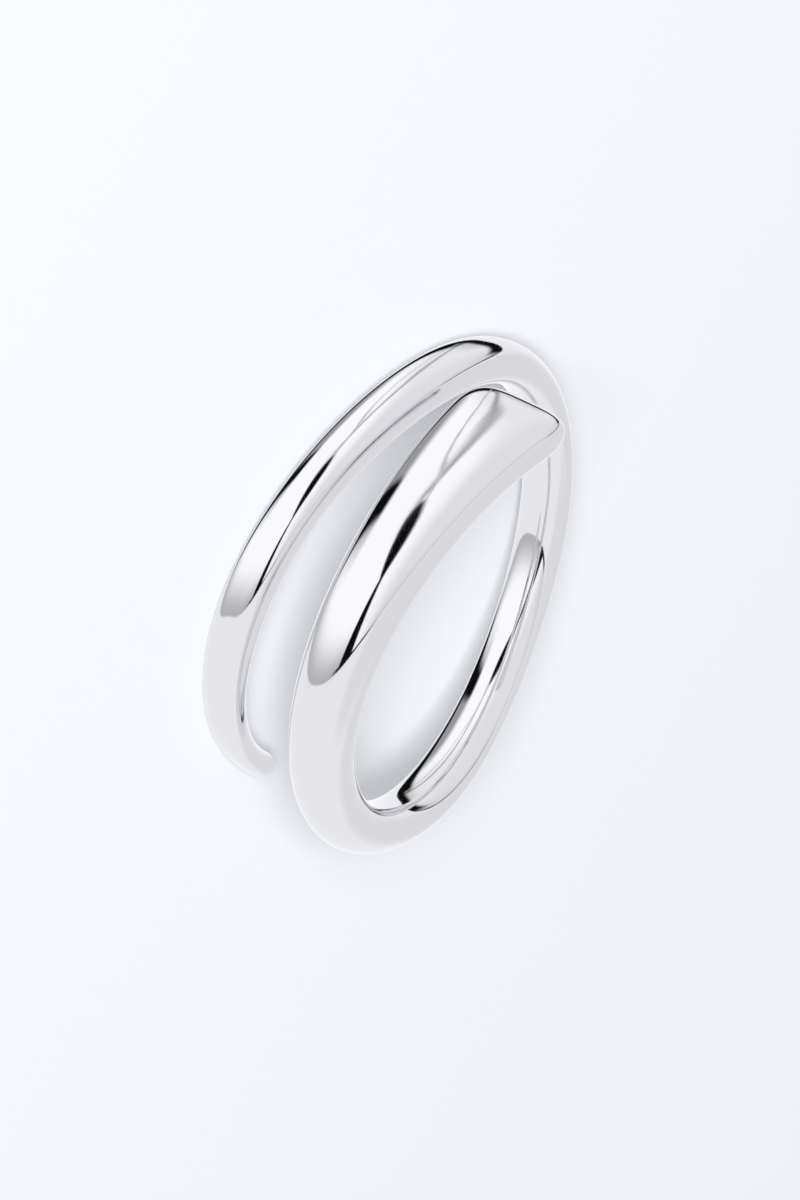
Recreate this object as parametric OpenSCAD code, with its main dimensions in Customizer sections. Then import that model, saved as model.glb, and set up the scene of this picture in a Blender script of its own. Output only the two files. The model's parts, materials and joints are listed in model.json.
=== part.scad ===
// Open wrap ring of polished stainless steel: one bar that winds about one and
// a half turns round the finger, from a broad blunt head to a slim rounded tail.
// The ring lies on its side. The finger hole points up, leaning a little, and
// the ring rests on the plane z = 0. All sizes are in millimetres.

/* [Finger hole] */
// Diameter of the finger hole
hole_d = 17.3; // [15.7:0.1:19.8]
// How far the bar winds round the finger, in degrees
wind = 503.5; // [480:0.5:520]
// Where the head end lies round the finger, in degrees from +X
head_at = 216.5; // [0:0.5:359]

/* [Bar] */
// Scale of the bar's width along the finger
width_scale = 1; // [0.85:0.05:1.15]
// Scale of the bar's thickness
thick_scale = 1; // [0.85:0.05:1.15]
// Scale of the distance between the turns along the finger
spread_scale = 1; // [1:0.05:1.3]
// Share of the thickness that lies under the widest line of the bar
low_share = 0.5; // [0.4:0.01:0.55]
// How square the inner half of the section is, where 2 is an ellipse
inner_square = 2.2; // [2:0.1:3]
// Depth that the finger hole cuts into the rounded inside of the bar
hole_cut = 0.05; // [0.03:0.01:0.1]

/* [Ends] */
// Depth that is rolled over the edge of the broad head end
head_roll = 0.65; // [0.4:0.05:0.85]
// Length along the bar over which the head end's edge is rolled over
head_roll_l = 1.8; // [0.4:0.1:2]
// Radius that is rolled over the edge of the slim tail end
tail_roll = 0.25; // [0.15:0.05:0.4]

/* [Rest] */
// Angle that the finger hole leans by as the ring rests on its side
lean = 7.8; // [0:0.1:12]
// Direction that the top of the finger hole leans to, in degrees from +X
lean_to = 140; // [0:1:359]

/* [Fineness] */
// Spans between the sections along the bar
spans_along = 126; // [90:2:150]
// Points round each section
points_round = 32; // [24:4:36]

/* [Hidden] */

steel = [0.80, 0.81, 0.83];

// Columns of the table of sections
HEIGHT = 0;  // middle of the bar along the finger
WIDTH = 1;   // width of the bar along the finger
THICK = 2;   // thickness of the bar outwards from the finger
SQUARE = 3;  // how square the outer half is, where 2 is an ellipse

// Equally spaced sections from the head to the tail
SECTIONS = [
    // height, width, thick, square
    [ 2.25, 4.65, 2.35, 3.4],
    [ 1.50, 3.40, 2.25, 2.5],
    [ 0.70, 2.70, 2.75, 2.0],
    [ 0.95, 2.30, 2.40, 2.0],
    [ 0.90, 2.40, 1.50, 2.0],
    [-0.35, 2.00, 1.40, 2.0],
    [-1.05, 2.20, 1.65, 2.0],
    [-1.65, 2.25, 1.85, 2.0],
    [-1.85, 2.20, 1.80, 2.6],
    [-3.45, 1.80, 1.65, 3.2],
    [-4.35, 2.00, 1.45, 2.6],
    [-3.90, 0.80, 1.10, 3.0],
];

hole_r = hole_d / 2;
// Steps of the quarter circle that rolls each end's edge over
roll_steps = 6;
// Half size that the end faces keep at least
end_least = 0.04;
// Radius at which the rolled edges are measured along the bar
roll_r = hole_r + 0.9;
// Length of the cutter for the finger hole, well past both sides
cutter_l = 40;
// Direction of the cutter's seam, which parts the hole's wall near the bar's ends
seam_at = head_at + 100;

// One column of the table at row i, carried on in a straight line past both ends
function row(i, column) =
    let (last = len(SECTIONS) - 1)
    i < 0 ? 2 * SECTIONS[0][column] - SECTIONS[1][column]
    : i > last ? 2 * SECTIONS[last][column] - SECTIONS[last - 1][column]
    : SECTIONS[i][column];

// Smooth cubic blend of one column; share runs from 0 at the head to 1 at the tail
function blend(column, share) =
    let (
        spans = len(SECTIONS) - 1,
        x = share * spans,
        i = min(floor(x), spans - 1),
        t = x - i
    )
    (pow(1 - t, 3) * row(i - 1, column)
        + (3 * pow(t, 3) - 6 * pow(t, 2) + 4) * row(i, column)
        + (-3 * pow(t, 3) + 3 * pow(t, 2) + 3 * t + 1) * row(i + 1, column)
        + pow(t, 3) * row(i + 2, column)) / 6;

// Step k of a rolled edge: how far it lies from the end, in degrees, and how
// far the section is drawn in there
function roll_turn(k, length) = length * (1 - cos(90 * k / roll_steps)) / roll_r * 180 / PI;
function roll_inset(k, roll) = roll * (1 - sin(90 * k / roll_steps));

// Stations along the bar, each with its turn from the head end and its inset
function stations() =
    let (
        first = roll_turn(roll_steps, head_roll_l),
        last = wind - roll_turn(roll_steps, tail_roll)
    )
    concat(
        [for (k = [0 : roll_steps - 1]) [roll_turn(k, head_roll_l), roll_inset(k, head_roll)]],
        [for (k = [0 : spans_along]) [first + (last - first) * k / spans_along, 0]],
        [for (k = [roll_steps - 1 : -1 : 0]) [wind - roll_turn(k, tail_roll), roll_inset(k, tail_roll)]]
    );

// One coordinate of a squared ellipse of half size 1
function squared(x, square) = sign(x) * pow(abs(x), 2 / square);

// Points round the bar at one station, as [distance from the hole's axis, height]
function section(turn, inset) =
    let (
        share = turn / wind,
        thick = thick_scale * blend(THICK, share),
        side = max(width_scale * blend(WIDTH, share) / 2 - inset, end_least),
        rise = max((1 - low_share) * thick - inset, end_least),
        drop = max(low_share * thick - inset, end_least),
        widest_r = hole_r - hole_cut + low_share * thick,
        middle = spread_scale * blend(HEIGHT, share),
        outer_square = blend(SQUARE, share)
    )
    [for (k = [0 : points_round - 1])
        let (
            a = 360 * k / points_round,
            outside = sin(a) >= 0,
            square = outside ? outer_square : inner_square
        )
        [
            widest_r + (outside ? rise : drop) * squared(sin(a), square),
            middle + side * squared(cos(a), square)
        ]
    ];

// Corners of the bar round an upright finger hole, one section after another
function bar_points() = [
    for (s = stations())
        let (a = s[0] + head_at)
        for (p = section(s[0], s[1]))
            [p[0] * cos(a), p[0] * sin(a), p[1]]
];

// Two triangles between each pair of neighbouring points, and a flat end at each end
function bar_faces(sections) = concat(
    [[for (k = [0 : points_round - 1]) k]],
    [
        for (i = [0 : sections - 2], k = [0 : points_round - 1])
            let (
                next = (k + 1) % points_round,
                a = i * points_round + k,
                b = i * points_round + next,
                c = (i + 1) * points_round + next,
                d = (i + 1) * points_round + k
            )
            each [[a, d, c], [a, c, b]]
    ],
    [[for (k = [points_round - 1 : -1 : 0]) (sections - 1) * points_round + k]]
);

// A point after the ring has leaned over: a turn by the angle lean about the
// level line that is square to lean_to
function leaned(p) =
    let (
        along = p[0] * cos(lean_to) + p[1] * sin(lean_to),
        across = -p[0] * sin(lean_to) + p[1] * cos(lean_to),
        far = along * cos(lean) + p[2] * sin(lean),
        up = -along * sin(lean) + p[2] * cos(lean)
    )
    [far * cos(lean_to) - across * sin(lean_to), far * sin(lean_to) + across * cos(lean_to), up];

// Middle of the foot of the leaned ring's box
function foot(points) =
    let (
        x = [for (p = points) p[0]],
        y = [for (p = points) p[1]],
        z = [for (p = points) p[2]]
    )
    [(min(x) + max(x)) / 2, (min(y) + max(y)) / 2, min(z)];

module band() {
    points = bar_points();
    color(steel)
        translate(-foot([for (p = points) leaned(p)]))
            rotate([0, 0, lean_to])
                rotate([0, lean, 0])
                    rotate([0, 0, -lean_to])
                        difference() {
                            polyhedron(points, bar_faces(len(stations())));
                            rotate([0, 0, seam_at])
                                cylinder(h = cutter_l, r = hole_r, center = true, $fn = 180);
                        }
}

band();
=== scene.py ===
"""Looks of the polished steel wrap ring: its fine band, its finish, and the floor, lights and camera."""
import json
import math

import bmesh
import bpy
import numpy as np
from mathutils import Matrix, Vector


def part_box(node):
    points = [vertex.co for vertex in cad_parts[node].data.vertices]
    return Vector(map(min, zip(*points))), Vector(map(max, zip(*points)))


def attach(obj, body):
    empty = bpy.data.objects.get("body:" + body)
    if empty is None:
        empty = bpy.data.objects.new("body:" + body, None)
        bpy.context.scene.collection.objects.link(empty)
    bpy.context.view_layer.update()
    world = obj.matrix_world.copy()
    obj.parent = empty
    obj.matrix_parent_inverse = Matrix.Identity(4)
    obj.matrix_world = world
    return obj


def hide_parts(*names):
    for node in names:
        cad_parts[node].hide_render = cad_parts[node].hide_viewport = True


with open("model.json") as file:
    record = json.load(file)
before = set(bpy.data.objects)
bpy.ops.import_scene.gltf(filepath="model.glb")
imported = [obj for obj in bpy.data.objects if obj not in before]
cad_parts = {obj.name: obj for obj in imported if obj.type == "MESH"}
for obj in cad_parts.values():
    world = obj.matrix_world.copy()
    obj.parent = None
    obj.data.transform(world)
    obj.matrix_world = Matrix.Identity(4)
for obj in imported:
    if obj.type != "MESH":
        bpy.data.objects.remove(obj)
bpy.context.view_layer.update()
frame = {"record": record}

bl_info = {
    "name": "Wrap ring",
    "version": (1, 0, 0),
    "blender": (4, 5, 0),
    "location": "3D View > Sidebar > Wrap ring",
    "description": "Builds an open wrap ring of polished steel on its packed solid, and a studio for it",
    "category": "Add Mesh",
}

MM = 0.001

# The finger hole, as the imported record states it
HOLE = next(m for m in frame["record"]["mounts"] if m["name"] == "finger_hole")

# Sizes that guide the bar's sections, equally spaced from the head to the tail, in
# millimetres: height of the bar's middle along the finger, width along the finger,
# thickness outwards from the finger, and how square the outer half is, where 2 is an
# ellipse. The blend meets the first and the last row and passes near the others. The
# values are the rounded result of a fit to the outlines and reflections in the photo.
SECTIONS = [
    # height, width, thick, square
    (2.25, 4.65, 2.35, 3.4),
    (1.50, 3.40, 2.25, 2.5),
    (0.70, 2.70, 2.75, 2.0),
    (0.95, 2.30, 2.40, 2.0),
    (0.90, 2.40, 1.50, 2.0),
    (-0.35, 2.00, 1.40, 2.0),
    (-1.05, 2.20, 1.65, 2.0),
    (-1.65, 2.25, 1.85, 2.0),
    (-1.85, 2.20, 1.80, 2.6),
    (-3.45, 1.80, 1.65, 3.2),
    (-4.35, 2.00, 1.45, 2.6),
    (-3.90, 0.80, 1.10, 3.0),
]

# Fineness of the band's mesh
SPANS_ALONG = 640      # spans along the bar between its rolled ends
ROLL_STEPS = 20        # spans over each rolled end
POINTS_ROUND = 120     # points round the bar
DENSE_ROUND = 2880     # points of the outline that those are picked from
ROLL_LEVEL = 0.9 * MM  # height above the hole's wall at which the rolled ends are measured
END_LEAST = 0.04 * MM  # half size that the end faces keep at least

# Noise of the steel's buffing lines and of its waves
LINE_STRETCH = 0.02      # what the way along the bar is scaled by, so that the lines are long
LINE_DETAIL = 3.0        # finer layers of noise in the lines
LINE_FADING = 0.6        # strength of each finer layer against the one before it
LINE_SMOOTHEST = 0.3     # noise at which the steel is smoothest
LINE_DULLEST = 0.7       # noise at which the steel is dullest
WAVE_DETAIL = 1.0        # finer layers of noise in the waves
WAVE_FADING = 0.4        # strength of each finer layer against the one before it

# Stage
FLOOR_HALF = 3.0         # half the floor's width, in metres
FLOOR_ROUGHNESS = 0.9    # roughness of the floor's matt card
FLOOR_SHINE = 0.1        # how strongly the card mirrors
TENT_DIVISIONS = 5       # times that the faces of the tent's ball are divided
CAMERA_NEAREST = 0.01    # nearest distance that the camera sees, in metres

# The tent's window, its panels, shades and seams. The ring mirrors the tent, so each
# card is a patch of its directions seen from the ring: a brightness, and the circles
# that bound it. A circle is given by the azimuth and elevation of its pole on the
# card's side, and by the angles above the great circle square to the pole at which
# the card starts to show and shows in full. All four are in degrees. A later card
# covers the ones before it. The places were worked out from the reflections in the
# photo, some by calculation, and then changed one by one.
WINDOW_SIDE = (-132, -16, -0.6, 0.6)  # the window's straight edge
TENT_CARDS = [
    # card, brightness, sides of (azimuth, elevation, starts, full)
    ("window", 1.235, [WINDOW_SIDE, (-52, -46, -4, 12)]),
    ("upper panel", 0.94, [WINDOW_SIDE, (-177, 62, 2, 36)]),
    ("far panel", 0.88, [(48, 16, 0, 6), (110, 30, 44, 66)]),
    ("high panel", 0.9, [(48, 16, 0, 6), (0, 90, 44, 60)]),
    ("far streak", 0.8, [(48, 16, 0, 6), (-16, 51, -7, -1), (164, -51, -7, -1), (49, 19, 62, 72)]),
    ("low shade", 0.56, [WINDOW_SIDE, (48, 16, -26, 0), (-50, -68, -4, 6)]),
    ("high shade", 0.8, [WINDOW_SIDE, (48, 16, -22, 0), (120, 66, 6, 24)]),
    ("low grey", 0.4, [(-150, 0, -20, 10), (0, -90, 44, 60), (170, 0, -20, 10)]),
    ("dark leg", 0.005, [(-28, 0, -10, -5), (152, 0, -10, -3), (0, -90, 46, 56), (-118, 0, -24, -16)]),
    ("far leg", 0.005, [
        WINDOW_SIDE, (49, 0, -9, -2), (-131, 0, -13, -6),
        (139, 0, -12, -4), (0, -90, 31, 36)]),
    ("seam", 0.3, [WINDOW_SIDE, (102, 81, -28.2, -26.3), (-78, -81, 25.2, 27), (155, -20, 0, 16)]),
    ("thin seam", 0.62, [WINDOW_SIDE, (150, 70, -17.2, -16.6), (-30, -70, 15.7, 16.3), (155, -20, 6, 14)]),
    ("gap", 0.005, [(-117, 14, 55.6, 57.2), (-79, -41, 45.4, 49.6), (-103, -10, 68, 72)]),
    ("gap flare", 0.005, [WINDOW_SIDE, (8, -51, -5.6, -3.6), (164, 65, -10.6, -8.8), (-3, 0, -2, 0)]),
    ("edge", 0.005, [(-132, -16, -0.3, 0.5), (48, 16, -3.4, -2), (0, 90, 0, 12), (0, -90, -52, -40)]),
    ("far edge", 0.005, [(-132, -16, -0.5, 0.6), (48, 16, -10.5, -6), (0, -90, -12, 4), (124, 0, 0, 30)]),
]


def linear(code):
    """Linear colour of an sRGB hex code."""
    channels = (int(code[i:i + 2], 16) / 255 for i in (0, 2, 4))
    return tuple(c / 12.92 if c <= 0.04045 else ((c + 0.055) / 1.055) ** 2.4 for c in channels)


def direction(azimuth, elevation):
    """Unit vector of an azimuth from +X and an elevation above the floor, in radians."""
    return Vector((
        math.cos(elevation) * math.cos(azimuth),
        math.cos(elevation) * math.sin(azimuth),
        math.sin(elevation)))


class BandSizes(bpy.types.PropertyGroup):
    """Sizes of the ring's bar."""
    hole_diameter: bpy.props.FloatProperty(
        name="Hole diameter", description="Diameter of the finger hole",
        default=2 * HOLE["dims"]["r_mm"] * MM, unit="LENGTH")
    wind: bpy.props.FloatProperty(
        name="Wind", description="How far the bar winds round the finger",
        default=math.radians(503.5), subtype="ANGLE")
    head_at: bpy.props.FloatProperty(
        name="Head at", description="Where the head end lies round the finger, from +X",
        default=math.radians(216.5), subtype="ANGLE")
    low_share: bpy.props.FloatProperty(
        name="Low share", description="Share of the thickness that lies under the bar's widest line",
        default=0.5, subtype="FACTOR")
    inner_square: bpy.props.FloatProperty(
        name="Inner squareness", description="How square the inner half of the section is",
        default=2.2)
    hole_cut: bpy.props.FloatProperty(
        name="Hole cut",
        description="Depth that the hole cuts into the packed solid's inside, rounded here",
        default=0.05 * MM, unit="LENGTH")
    head_roll: bpy.props.FloatProperty(
        name="Head roll", description="Depth rolled over the edge of the broad head end",
        default=0.65 * MM, unit="LENGTH")
    head_roll_length: bpy.props.FloatProperty(
        name="Head roll length",
        description="Length along the bar over which the head's edge is rolled over",
        default=1.8 * MM, unit="LENGTH")
    tail_roll: bpy.props.FloatProperty(
        name="Tail roll", description="Radius rolled over the edge of the slim tail end",
        default=0.25 * MM, unit="LENGTH")
    lean: bpy.props.FloatProperty(
        name="Lean", description="Angle that the finger hole leans by as the ring rests on its side",
        default=math.acos(HOLE["axis"][2]), subtype="ANGLE")
    lean_to: bpy.props.FloatProperty(
        name="Lean to", description="Direction that the top of the finger hole leans to, from +X",
        default=math.atan2(HOLE["axis"][1], HOLE["axis"][0]), subtype="ANGLE")


class SteelFinish(bpy.types.PropertyGroup):
    """Finish of the polished stainless steel."""
    colour: bpy.props.FloatVectorProperty(
        name="Colour", description="Colour that the polished steel gives to what it mirrors",
        default=linear("E3E3E7"), size=3, min=0, max=1, subtype="COLOR")
    roughness: bpy.props.FloatProperty(
        name="Roughness", description="Mean roughness of the buffed surface",
        default=0.05, subtype="FACTOR")
    roughness_spread: bpy.props.FloatProperty(
        name="Roughness spread",
        description="How far the roughness strays to either side of its mean on the buffing lines",
        default=0.03, subtype="FACTOR")
    line_width: bpy.props.FloatProperty(
        name="Line width",
        description="Width of the faint lines that the buffing wheel leaves along the bar",
        default=0.05 * MM, unit="LENGTH")
    line_height: bpy.props.FloatProperty(
        name="Line height", description="Height of the buffing lines",
        default=0.00001 * MM, unit="LENGTH")
    wave_width: bpy.props.FloatProperty(
        name="Wave width", description="Width of the soft waves that hand polishing leaves",
        default=1.6 * MM, unit="LENGTH")
    wave_height: bpy.props.FloatProperty(
        name="Wave height", description="Height of the soft waves",
        default=0.0015 * MM, unit="LENGTH")


class StudioSettings(bpy.types.PropertyGroup):
    """Floor, light and camera of the picture."""
    floor_colour: bpy.props.FloatVectorProperty(
        name="Floor colour", description="Colour of the plain pale floor",
        default=linear("F3F6FB"), size=3, min=0, max=1, subtype="COLOR")
    room_colour: bpy.props.FloatVectorProperty(
        name="Room colour", description="Colour of the plain room light",
        default=linear("FFFFFF"), size=3, min=0, max=1, subtype="COLOR")
    room_strength: bpy.props.FloatProperty(
        name="Room strength", description="Brightness of the plain room light",
        default=0.45)
    tent_colour: bpy.props.FloatVectorProperty(
        name="Tent colour", description="Colour of the light tent's plain cloth",
        default=linear("FFFFFF"), size=3, min=0, max=1, subtype="COLOR")
    tent_strength: bpy.props.FloatProperty(
        name="Tent strength", description="Brightness of the light tent's plain cloth",
        default=1.02)
    tent_radius: bpy.props.FloatProperty(
        name="Tent radius", description="Radius of the light tent round the ring",
        default=0.45, unit="LENGTH")
    key_power: bpy.props.FloatProperty(
        name="Key power", description="Power of the soft light that casts the ring's shadow",
        default=26.0, unit="POWER")
    key_size: bpy.props.FloatProperty(
        name="Key size", description="Width of the soft light",
        default=0.5, unit="LENGTH")
    key_distance: bpy.props.FloatProperty(
        name="Key distance", description="Distance of the soft light from the ring",
        default=1.5, unit="LENGTH")
    key_azimuth: bpy.props.FloatProperty(
        name="Key azimuth", description="Direction of the soft light round the ring, from +X",
        default=math.radians(-91), subtype="ANGLE")
    key_elevation: bpy.props.FloatProperty(
        name="Key elevation", description="Height of the soft light above the floor",
        default=math.radians(30), subtype="ANGLE")
    camera_target: bpy.props.FloatVectorProperty(
        name="Camera target", description="Point that the camera looks at",
        default=(0.72 * MM, -0.70 * MM, 2.73 * MM), size=3, subtype="TRANSLATION")
    camera_azimuth: bpy.props.FloatProperty(
        name="Camera azimuth", description="Direction of the camera round the ring, from +X",
        default=math.radians(-93.37), subtype="ANGLE")
    camera_elevation: bpy.props.FloatProperty(
        name="Camera elevation", description="Height of the camera above the floor",
        default=math.radians(27.48), subtype="ANGLE")
    camera_roll: bpy.props.FloatProperty(
        name="Camera roll", description="Turn of the camera about its line of sight",
        default=math.radians(122.31), subtype="ANGLE")
    camera_distance: bpy.props.FloatProperty(
        name="Camera distance", description="Distance of the camera from its target",
        default=350.3 * MM, unit="LENGTH")
    camera_lens: bpy.props.FloatProperty(
        name="Camera lens", description="Focal length of the camera in millimetres",
        default=263.8)


def blend(column, share):
    """Smooth cubic blend of one column of the table. Share runs from 0 at the head to 1 at the tail."""
    known = [row[column] for row in SECTIONS]
    known = np.array([2 * known[0] - known[1], *known, 2 * known[-1] - known[-2]])
    x = share * (len(SECTIONS) - 1)
    i = np.minimum(x.astype(int), len(SECTIONS) - 2)
    t = x - i
    weights = ((1 - t) ** 3, 3 * t**3 - 6 * t**2 + 4, -3 * t**3 + 3 * t**2 + 3 * t + 1, t**3)
    return sum(weight * known[i + k] for k, weight in enumerate(weights)) / 6


def stations(sizes):
    """Turns of the stations along the bar from the head end, and how far each section is drawn in there."""
    rolling = np.linspace(0, math.pi / 2, ROLL_STEPS + 1)
    level = sizes.hole_diameter / 2 + ROLL_LEVEL
    head = sizes.head_roll_length * (1 - np.cos(rolling)) / level
    tail = sizes.wind - sizes.tail_roll * (1 - np.cos(rolling)) / level
    drawn = 1 - np.sin(rolling)
    middle = np.linspace(head[-1], tail[-1], SPANS_ALONG + 1)
    turns = np.concatenate([head[:-1], middle, tail[-2::-1]])
    insets = np.concatenate([
        sizes.head_roll * drawn[:-1], np.zeros(len(middle)), sizes.tail_roll * drawn[-2::-1]])
    return turns, insets


def squared(x, square):
    """One coordinate of a squared ellipse of half size 1."""
    return np.sign(x) * np.abs(x) ** (2 / square)


def outlines(sizes, turns, insets):
    """The bar's sections, one row each: distances from the hole's axis and heights along it."""
    share = turns / sizes.wind
    height, width, thick, square = (blend(column, share)[:, None] for column in range(4))
    insets = insets[:, None]
    angle = np.linspace(0, 2 * math.pi, DENSE_ROUND + 1)
    outside = np.sin(angle) >= 0
    square = np.where(outside, square, sizes.inner_square)
    side = np.maximum(width * MM / 2 - insets, END_LEAST)
    rise = np.maximum((1 - sizes.low_share) * thick * MM - insets, END_LEAST)
    low = sizes.low_share * thick * MM - sizes.hole_cut
    drop = np.maximum(low - insets, END_LEAST)
    r = sizes.hole_diameter / 2 + low + np.where(outside, rise, drop) * squared(np.sin(angle), square)
    z = height * MM + side * squared(np.cos(angle), square)
    return even_outlines(r, z)


def even_outlines(r, z):
    """The same outlines with fewer points, evenly spaced by length and by turning together."""
    dr, dz = np.diff(r, axis=1), np.diff(z, axis=1)
    step = np.hypot(dr, dz)
    heading = np.unwrap(np.arctan2(dz, dr), axis=1)
    whole_turn = 2 * math.pi * np.sign(heading[:, -1:] - heading[:, :1])
    turning = np.abs(np.diff(heading, axis=1, append=heading[:, :1] + whole_turn))
    length = step / step.sum(1, keepdims=True) + turning / turning.sum(1, keepdims=True)
    along = np.concatenate([np.zeros((len(r), 1)), np.cumsum(length, axis=1)], axis=1)
    along /= along[:, -1:]
    # One common spacing keeps the lines that run along the bar smooth
    common = along.mean(0)
    picked = np.interp(np.arange(POINTS_ROUND) / POINTS_ROUND, common, np.arange(DENSE_ROUND + 1))
    low = picked.astype(int)
    part = picked - low
    return (r[:, low] * (1 - part) + r[:, low + 1] * part, z[:, low] * (1 - part) + z[:, low + 1] * part)


def band_points(sizes):
    """Points of the band as [station, point round, xyz], as the ring rests on the floor,
    and the same points unrolled: way along the bar, distance from the hole's axis, height along it."""
    turns, insets = stations(sizes)
    r, z = outlines(sizes, turns, insets)
    angle = (turns + sizes.head_at)[:, None]
    upright = np.stack([r * np.cos(angle), r * np.sin(angle), z], axis=-1)
    lean = np.array(
        Matrix.Rotation(sizes.lean_to, 3, "Z") @ Matrix.Rotation(sizes.lean, 3, "Y")
        @ Matrix.Rotation(-sizes.lean_to, 3, "Z"))
    points = upright @ lean.T
    low, high = points.min((0, 1)), points.max((0, 1))
    points -= [(low[0] + high[0]) / 2, (low[1] + high[1]) / 2, low[2]]
    way = turns[:, None] * (sizes.hole_diameter / 2 + ROLL_LEVEL)
    unrolled = np.stack([np.broadcast_to(way, r.shape), r, z], axis=-1)
    return points, unrolled


def build_band(sizes, steel):
    """Makes the band's mesh object: a quad grid round and along the bar, with a flat face at each end."""
    points, unrolled = band_points(sizes)
    rows, row_points = points.shape[:2]
    i, k = np.meshgrid(np.arange(rows - 1), np.arange(row_points), indexing="ij")
    here, after = i * row_points, (k + 1) % row_points
    quads = np.stack([here + k, here + after, here + row_points + after, here + row_points + k], -1)
    faces = quads.reshape(-1, 4).tolist()
    faces.append(list(range(row_points))[::-1])
    faces.append(list(range((rows - 1) * row_points, rows * row_points)))
    mesh = bpy.data.meshes.new("band_steel")
    mesh.from_pydata(points.reshape(-1, 3).tolist(), [], faces)
    mesh.polygons.foreach_set("use_smooth", [True] * len(mesh.polygons))
    mesh.attributes.new("unrolled", "FLOAT_VECTOR", "POINT").data.foreach_set("vector", unrolled.ravel())
    mesh.materials.append(steel)
    mesh.validate()
    band = bpy.data.objects.new("band_steel", mesh)
    bpy.context.scene.collection.objects.link(band)
    return band


def add_node(tree, kind, settings=None, links=None):
    """Adds a node of a kind to a tree, sets its properties or sockets by name, and links sockets to it."""
    node = tree.nodes.new(kind)
    for name, value in (settings or {}).items():
        if isinstance(name, str) and hasattr(node, name):
            setattr(node, name, value)
        else:
            node.inputs[name].default_value = value
    for name, source in (links or {}).items():
        tree.links.new(source, node.inputs[name])
    return node


def empty_material(name):
    """A material with an empty node tree."""
    material = bpy.data.materials.new(name)
    material.use_nodes = True
    material.node_tree.nodes.clear()
    return material


def polished_stainless_steel(finish):
    """Stainless steel, cast or bent and then buffed on a wheel to a mirror."""
    material = empty_material("polished_stainless_steel")
    tree = material.node_tree
    unrolled = add_node(tree, "ShaderNodeAttribute", {"attribute_name": "unrolled"}).outputs["Vector"]
    # The wheel runs along the bar, so its lines are long, and the mirror is a little
    # duller on some of them. Real lines are a few thousandths of a millimetre wide, too
    # fine for the picture, so they are drawn coarser, at the line width of the finish.
    along = add_node(
        tree, "ShaderNodeVectorMath",
        {"operation": "MULTIPLY", 1: (LINE_STRETCH, 1, 1)}, {0: unrolled})
    lines = add_node(
        tree, "ShaderNodeTexNoise",
        {"Scale": 1 / finish.line_width, "Detail": LINE_DETAIL, "Roughness": LINE_FADING},
        {"Vector": along.outputs["Vector"]}).outputs["Fac"]
    roughness = add_node(
        tree, "ShaderNodeMapRange",
        {"From Min": LINE_SMOOTHEST, "From Max": LINE_DULLEST,
         "To Min": max(finish.roughness - finish.roughness_spread, 0),
         "To Max": finish.roughness + finish.roughness_spread},
        {"Value": lines}).outputs["Result"]
    # Hand polishing leaves soft waves, which make the mirrored edges waver
    waves = add_node(
        tree, "ShaderNodeTexNoise",
        {"Scale": 1 / finish.wave_width, "Detail": WAVE_DETAIL, "Roughness": WAVE_FADING},
        {"Vector": unrolled}).outputs["Fac"]
    wavy = add_node(
        tree, "ShaderNodeBump", {"Strength": 1.0, "Distance": finish.wave_height},
        {"Height": waves}).outputs["Normal"]
    lined = add_node(
        tree, "ShaderNodeBump", {"Strength": 1.0, "Distance": finish.line_height},
        {"Height": lines, "Normal": wavy}).outputs["Normal"]
    steel = add_node(
        tree, "ShaderNodeBsdfPrincipled",
        {"Base Color": (*finish.colour, 1), "Metallic": 1.0},
        {"Roughness": roughness, "Normal": lined})
    add_node(tree, "ShaderNodeOutputMaterial", links={"Surface": steel.outputs["BSDF"]})
    return material


def side_of_card(tree, towards, azimuth, elevation, starts, full):
    """How far a direction lies inside one circle that bounds a card, from 0 to 1."""
    pole = direction(math.radians(azimuth), math.radians(elevation))
    above = add_node(
        tree, "ShaderNodeVectorMath", {"operation": "DOT_PRODUCT", 1: pole}, {0: towards}).outputs["Value"]
    return add_node(
        tree, "ShaderNodeMapRange",
        {"interpolation_type": "SMOOTHSTEP", "From Min": math.sin(math.radians(starts)),
         "From Max": math.sin(math.radians(full))},
        {"Value": above}).outputs["Result"]


def tent_cloth(settings):
    """Sewn white nylon of a light tent, lit from outside, whose window and seams the steel mirrors."""
    material = empty_material("white_tent_nylon")
    # The tent is only ever mirrored, so it takes no part in lighting the floor
    material.cycles.emission_sampling = "NONE"
    tree = material.node_tree
    place = add_node(tree, "ShaderNodeTexCoord").outputs["Object"]
    towards = add_node(
        tree, "ShaderNodeVectorMath", {"operation": "NORMALIZE"}, {0: place}).outputs["Vector"]
    shade = None
    for _, brightness, sides in TENT_CARDS:
        cover = None
        for side in sides:
            inside = side_of_card(tree, towards, *side)
            if cover is None:
                cover = inside
            else:
                cover = add_node(
                    tree, "ShaderNodeMath",
                    {"operation": "MULTIPLY"}, {0: cover, 1: inside}).outputs["Value"]
        card = add_node(
            tree, "ShaderNodeMix", {"data_type": "FLOAT", "A": settings.tent_strength, "B": brightness},
            {"Factor": cover})
        if shade is not None:
            tree.links.new(shade, card.inputs["A"])
        shade = card.outputs["Result"]
    glow = add_node(
        tree, "ShaderNodeEmission", {"Color": (*settings.tent_colour, 1)}, {"Strength": shade})
    add_node(tree, "ShaderNodeOutputMaterial", links={"Surface": glow.outputs["Emission"]})
    return material


def mirrored_only(piece):
    """Hides a stage piece from all but the steel's reflections."""
    piece.visible_camera = False
    piece.visible_diffuse = False
    piece.visible_shadow = False
    piece.visible_transmission = False
    piece.visible_volume_scatter = False


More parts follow.
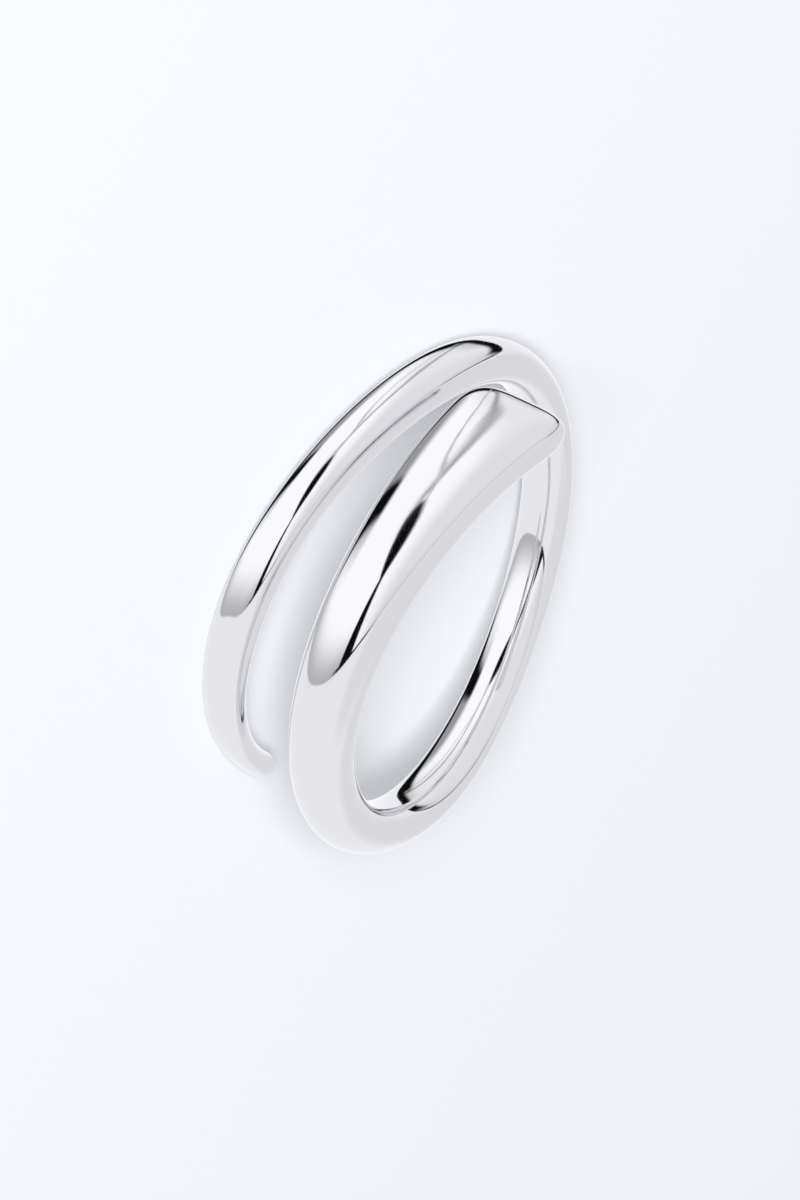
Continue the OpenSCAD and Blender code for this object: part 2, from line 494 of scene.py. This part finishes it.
def build_tent(settings, centre):
    """Puts the light tent round the ring."""
    mesh = bpy.data.meshes.new("light_tent")
    form = bmesh.new()
    bmesh.ops.create_icosphere(form, subdivisions=TENT_DIVISIONS, radius=settings.tent_radius)
    form.to_mesh(mesh)
    form.free()
    mesh.materials.append(tent_cloth(settings))
    tent = bpy.data.objects.new("light_tent", mesh)
    tent.location = centre
    bpy.context.scene.collection.objects.link(tent)
    mirrored_only(tent)


def matt_card(settings):
    """Pale matt card of the floor."""
    material = empty_material("pale_matt_card")
    tree = material.node_tree
    card = add_node(
        tree, "ShaderNodeBsdfPrincipled",
        {"Base Color": (*settings.floor_colour, 1), "Roughness": FLOOR_ROUGHNESS,
         "Specular IOR Level": FLOOR_SHINE})
    add_node(tree, "ShaderNodeOutputMaterial", links={"Surface": card.outputs["BSDF"]})
    return material


def build_floor(settings):
    """Lays the floor. The ring mirrors the tent and not the floor, as if it stood free in the tent."""
    half = FLOOR_HALF
    corners = [(-half, -half, 0), (half, -half, 0), (half, half, 0), (-half, half, 0)]
    mesh = bpy.data.meshes.new("floor")
    mesh.from_pydata(corners, [], [(0, 1, 2, 3)])
    mesh.materials.append(matt_card(settings))
    floor = bpy.data.objects.new("floor", mesh)
    bpy.context.scene.collection.objects.link(floor)
    floor.visible_glossy = False


def build_lights(settings, centre):
    """Lights the floor: a plain bright room, and one soft light for the shadow."""
    world = bpy.data.worlds.new("room")
    world.use_nodes = True
    world.node_tree.nodes.clear()
    room = add_node(
        world.node_tree, "ShaderNodeBackground",
        {"Color": (*settings.room_colour, 1), "Strength": settings.room_strength})
    add_node(world.node_tree, "ShaderNodeOutputWorld", links={"Surface": room.outputs["Background"]})
    bpy.context.scene.world = world
    data = bpy.data.lights.new("key_light", "AREA")
    data.energy = settings.key_power
    data.size = settings.key_size
    key = bpy.data.objects.new("key_light", data)
    away = direction(settings.key_azimuth, settings.key_elevation)
    turn = away.to_track_quat("Z", "Y").to_matrix().to_4x4()
    key.matrix_world = Matrix.Translation(centre + settings.key_distance * away) @ turn
    key.visible_glossy = False
    bpy.context.scene.collection.objects.link(key)


def build_camera(settings):
    """Puts the camera where it sees the ring as the photograph does."""
    data = bpy.data.cameras.new("camera")
    data.lens = settings.camera_lens
    data.clip_start = CAMERA_NEAREST
    camera = bpy.data.objects.new("camera", data)
    away = direction(settings.camera_azimuth, settings.camera_elevation)
    turn = away.to_track_quat("Z", "Y").to_matrix() @ Matrix.Rotation(settings.camera_roll, 3, "Z")
    place = Vector(settings.camera_target) + settings.camera_distance * away
    camera.matrix_world = Matrix.Translation(place) @ turn.to_4x4()
    bpy.context.scene.collection.objects.link(camera)
    bpy.context.scene.camera = camera


class RING_OT_build_band(bpy.types.Operator):
    """Builds the ring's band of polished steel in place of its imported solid"""
    bl_idname = "ring.build_band"
    bl_label = "Build band"

    def execute(self, context):
        scene = context.scene
        band = build_band(scene.band_sizes, polished_stainless_steel(scene.steel_finish))
        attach(band, "root")
        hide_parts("band")
        return {"FINISHED"}


class RING_OT_build_stage(bpy.types.Operator):
    """Builds the floor, the light tent, the lights and the camera"""
    bl_idname = "ring.build_stage"
    bl_label = "Build stage"

    def execute(self, context):
        settings = context.scene.studio_settings
        low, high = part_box("band")
        centre = (low + high) / 2
        build_floor(settings)
        build_tent(settings, centre)
        build_lights(settings, centre)
        build_camera(settings)
        context.scene.view_settings.view_transform = "Standard"
        return {"FINISHED"}


class RING_PT_wrap_ring(bpy.types.Panel):
    """Lists the ring's sizes, its finish, the studio and what builds them"""
    bl_idname = "RING_PT_wrap_ring"
    bl_label = "Wrap ring"
    bl_space_type = "VIEW_3D"
    bl_region_type = "UI"
    bl_category = "Wrap ring"

    def draw(self, context):
        for operator, groups in OPERATORS.items():
            for group in groups:
                settings = getattr(context.scene, group)
                for name in settings.__annotations__:
                    self.layout.prop(settings, name)
            self.layout.operator(operator.bl_idname)


# What the panel lists, in the order in which main builds it
OPERATORS = {
    RING_OT_build_band: ("band_sizes", "steel_finish"),
    RING_OT_build_stage: ("studio_settings",),
}
GROUPS = {"band_sizes": BandSizes, "steel_finish": SteelFinish, "studio_settings": StudioSettings}


def register():
    """Registers the classes and hangs the settings on the scene."""
    for group in GROUPS.values():
        bpy.utils.register_class(group)
    for operator in OPERATORS:
        bpy.utils.register_class(operator)
    bpy.utils.register_class(RING_PT_wrap_ring)
    for name, group in GROUPS.items():
        setattr(bpy.types.Scene, name, bpy.props.PointerProperty(type=group))


def unregister():
    """Takes the settings and the classes away again."""
    for name in GROUPS:
        delattr(bpy.types.Scene, name)
    bpy.utils.unregister_class(RING_PT_wrap_ring)
    for operator in reversed(OPERATORS):
        bpy.utils.unregister_class(operator)
    for group in reversed(GROUPS.values()):
        bpy.utils.unregister_class(group)


def main():
    """Builds the ring and its studio."""
    register()
    bpy.ops.ring.build_band()
    bpy.ops.ring.build_stage()


if __name__ == "__main__":
    main()
